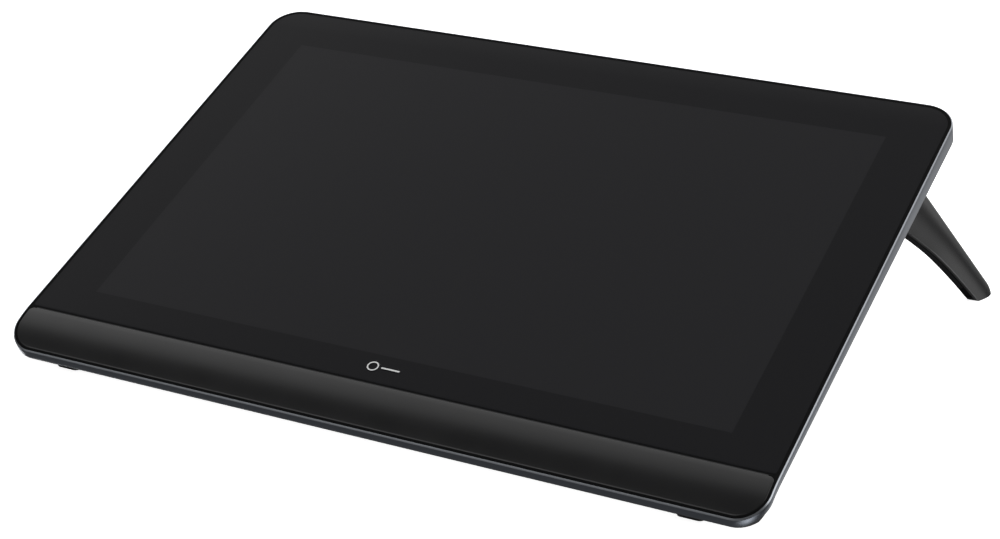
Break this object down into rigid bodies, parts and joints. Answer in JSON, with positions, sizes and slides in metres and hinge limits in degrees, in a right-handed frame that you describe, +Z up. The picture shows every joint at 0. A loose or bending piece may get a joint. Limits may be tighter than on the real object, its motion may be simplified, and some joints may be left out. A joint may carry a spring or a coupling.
{
  "type": "pen drawing tablet",
  "caption": "Wide pen display with a glass top, slim wedge metal frame, curved front palm rest and two rear legs that fold out sideways.",
  "frame": {"origin": "centre of the object's box on the table, under the tilted tablet with its legs out", "axes": "+X across the tablet to the user's right, +Y towards the raised rear edge, +Z up from the table"},
  "size_m": [0.4316, 0.31, 0.1129],
  "materials": {
    "bonded_glass": "etched, anti-glare, laminated to the display",
    "border_ink": "printed",
    "black_foam": "foam tape",
    "black_gasket": "matt",
    "satin_black_plastic": "moulded, satin paint",
    "pale_ink": "printed",
    "lcd_glass": "smooth",
    "light_guide_acrylic": "polished",
    "pressed_steel": "pressed, zinc plated",
    "circuit_board": "solder mask",
    "chip_resin": "moulded",
    "flat_cable": "polyimide film",
    "textured_black_plastic": "moulded, fine texture",
    "turned_brass": "turned",
    "black_steel": "black oxide",
    "black_rubber": "moulded",
    "anodised_aluminium": "bead blasted, dark grey anodised",
    "painted_leg_plastic": "moulded, satin paint"
  },
  "bodies": {
    "tablet": {"cover_glass": "bonded_glass", "border_print": "border_ink", "glass_tape": "black_foam", "edge_gasket": "black_gasket", "palm_rest": "satin_black_plastic", "front_mark": "pale_ink", "lcd_panel": "lcd_glass", "light_guide": "light_guide_acrylic", "light_strip": "circuit_board", "backlight_tray": "pressed_steel", "pen_sensor_board": "circuit_board", "shield_plate": "pressed_steel", "main_board": "circuit_board", "board_chips": "chip_resin", "display_cable": "flat_cable", "sensor_cable": "flat_cable", "socket_board": "circuit_board", "usb_sockets": "pressed_steel", "key_switches": "chip_resin", "rear_cover": "textured_black_plastic", "standoffs": "turned_brass", "cover_screws": "black_steel", "front_pads": "black_rubber", "rear_pad": "black_rubber", "frame_ring": "anodised_aluminium", "right_hinge_bracket": "pressed_steel", "right_hinge_pin": "pressed_steel", "right_hinge_washers": "pressed_steel", "left_hinge_bracket": "pressed_steel", "left_hinge_pin": "pressed_steel", "left_hinge_washers": "pressed_steel"},
    "power_button": {"power_button": "anodised_aluminium"},
    "brighter_key": {"brighter_key": "anodised_aluminium"},
    "dimmer_key": {"dimmer_key": "anodised_aluminium"},
    "right_leg": {"right_leg_shell": "painted_leg_plastic", "right_leg_core": "textured_black_plastic", "right_leg_foot": "black_rubber"},
    "left_leg": {"left_leg_shell": "painted_leg_plastic", "left_leg_core": "textured_black_plastic", "left_leg_foot": "black_rubber"}
  },
  "joints": [
    {"name": "right_leg_fold", "type": "hinge", "parent": "tablet", "child": "right_leg", "pos_m": [0.155, 0.10142, 0.08875], "axis": [0, -0.938, -0.3466], "range_deg": [-120.4, 0]},
    {"name": "left_leg_fold", "type": "hinge", "parent": "tablet", "child": "left_leg", "pos_m": [-0.155, 0.10142, 0.08875], "axis": [0, 0.938, 0.3466], "range_deg": [-120.4, 0]},
    {"name": "power_button_press", "type": "slide", "parent": "tablet", "child": "power_button", "axis": [1, 0, 0], "range_m": [0, 0.0005], "stiffness_N_per_m": 400, "springref_m": -0.0005},
    {"name": "brighter_key_press", "type": "slide", "parent": "tablet", "child": "brighter_key", "axis": [1, 0, 0], "range_m": [0, 0.0005], "stiffness_N_per_m": 400, "springref_m": -0.0005},
    {"name": "dimmer_key_press", "type": "slide", "parent": "tablet", "child": "dimmer_key", "axis": [1, 0, 0], "range_m": [0, 0.0005], "stiffness_N_per_m": 400, "springref_m": -0.0005}
  ]
}
